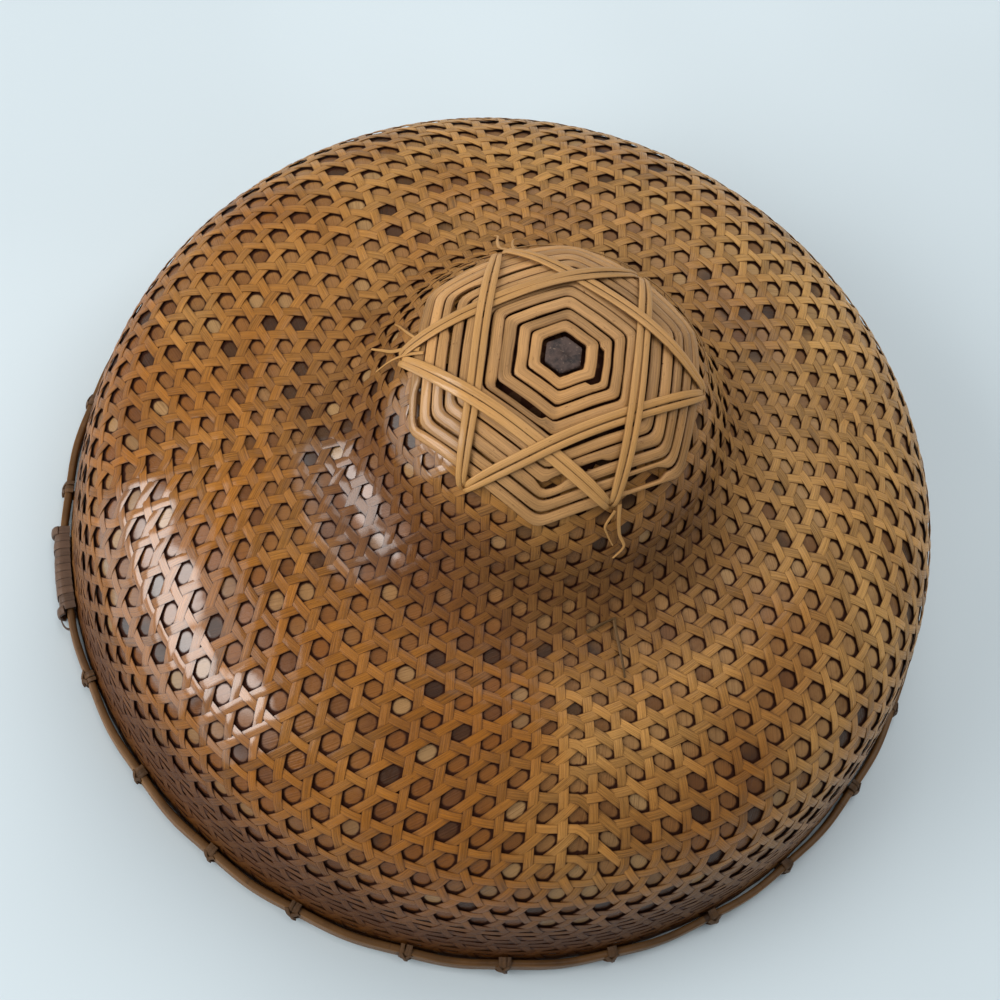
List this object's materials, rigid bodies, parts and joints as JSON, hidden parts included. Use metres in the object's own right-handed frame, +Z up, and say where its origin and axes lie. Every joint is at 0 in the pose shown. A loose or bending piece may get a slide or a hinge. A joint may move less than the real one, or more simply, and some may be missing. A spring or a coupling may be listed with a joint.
{
  "type": "woven rattan hat",
  "caption": "Deep dome-brimmed hat of split bamboo in open hexagonal weave, leaf lined, with a hexagonal splint cap tied by a star and a bound hoop round its rim.",
  "frame": {"origin": "the middle of the rim, on the surface that the hat rests on", "axes": "+Z up through the middle of the crown; the hat is round, -Y faces the viewer and the wrapped joint of the hoop is at the left, 151 degrees clockwise from +X"},
  "size_m": [0.404, 0.4039, 0.1958],
  "materials": {
    "weave": "varnished split bamboo, golden brown, grimy towards the rim",
    "leaf": "dry leaf, matt tan with brown patches",
    "cap_splint": "pale straw bamboo splint, satin",
    "star_splint": "pale straw bamboo splint, satin",
    "plug": "rough dark grey fibre",
    "hoop": "worn olive-brown bamboo",
    "lashing": "brown wound splint",
    "joint_wrap": "grey-brown wound splint, slightly glossy"
  },
  "bodies": {
    "root": {"woven_shell": "weave", "leaf_layer": "leaf", "cap_plug": "plug", "cap_ring_01": "cap_splint", "cap_ring_02": "cap_splint", "cap_ring_03": "cap_splint", "cap_ring_04": "cap_splint", "cap_ring_05": "cap_splint", "cap_ring_06": "cap_splint", "cap_ring_07": "cap_splint", "cap_ring_08": "cap_splint", "cap_ring_09": "cap_splint", "cap_ring_10": "cap_splint", "star_strap_1": "star_splint", "star_strap_2": "star_splint", "star_strap_3": "star_splint", "star_strap_4": "star_splint", "star_strap_5": "star_splint", "star_strap_6": "star_splint", "rim_hoop_outer": "hoop", "rim_hoop_inner": "hoop", "rim_lashing_01": "lashing", "rim_lashing_02": "lashing", "rim_lashing_03": "lashing", "rim_lashing_04": "lashing", "rim_lashing_05": "lashing", "rim_lashing_06": "lashing", "rim_lashing_07": "lashing", "rim_lashing_08": "lashing", "rim_lashing_09": "lashing", "rim_lashing_10": "lashing", "rim_lashing_11": "lashing", "rim_lashing_12": "lashing", "rim_lashing_13": "lashing", "rim_lashing_14": "lashing", "rim_lashing_15": "lashing", "rim_lashing_16": "lashing", "rim_lashing_17": "lashing", "rim_lashing_18": "lashing", "rim_lashing_19": "lashing", "rim_lashing_20": "lashing", "rim_lashing_21": "lashing", "rim_lashing_22": "lashing", "rim_lashing_23": "lashing", "rim_lashing_24": "lashing", "rim_lashing_25": "lashing", "rim_lashing_26": "lashing", "hoop_joint_wrap": "joint_wrap"}
  },
  "joints": []
}
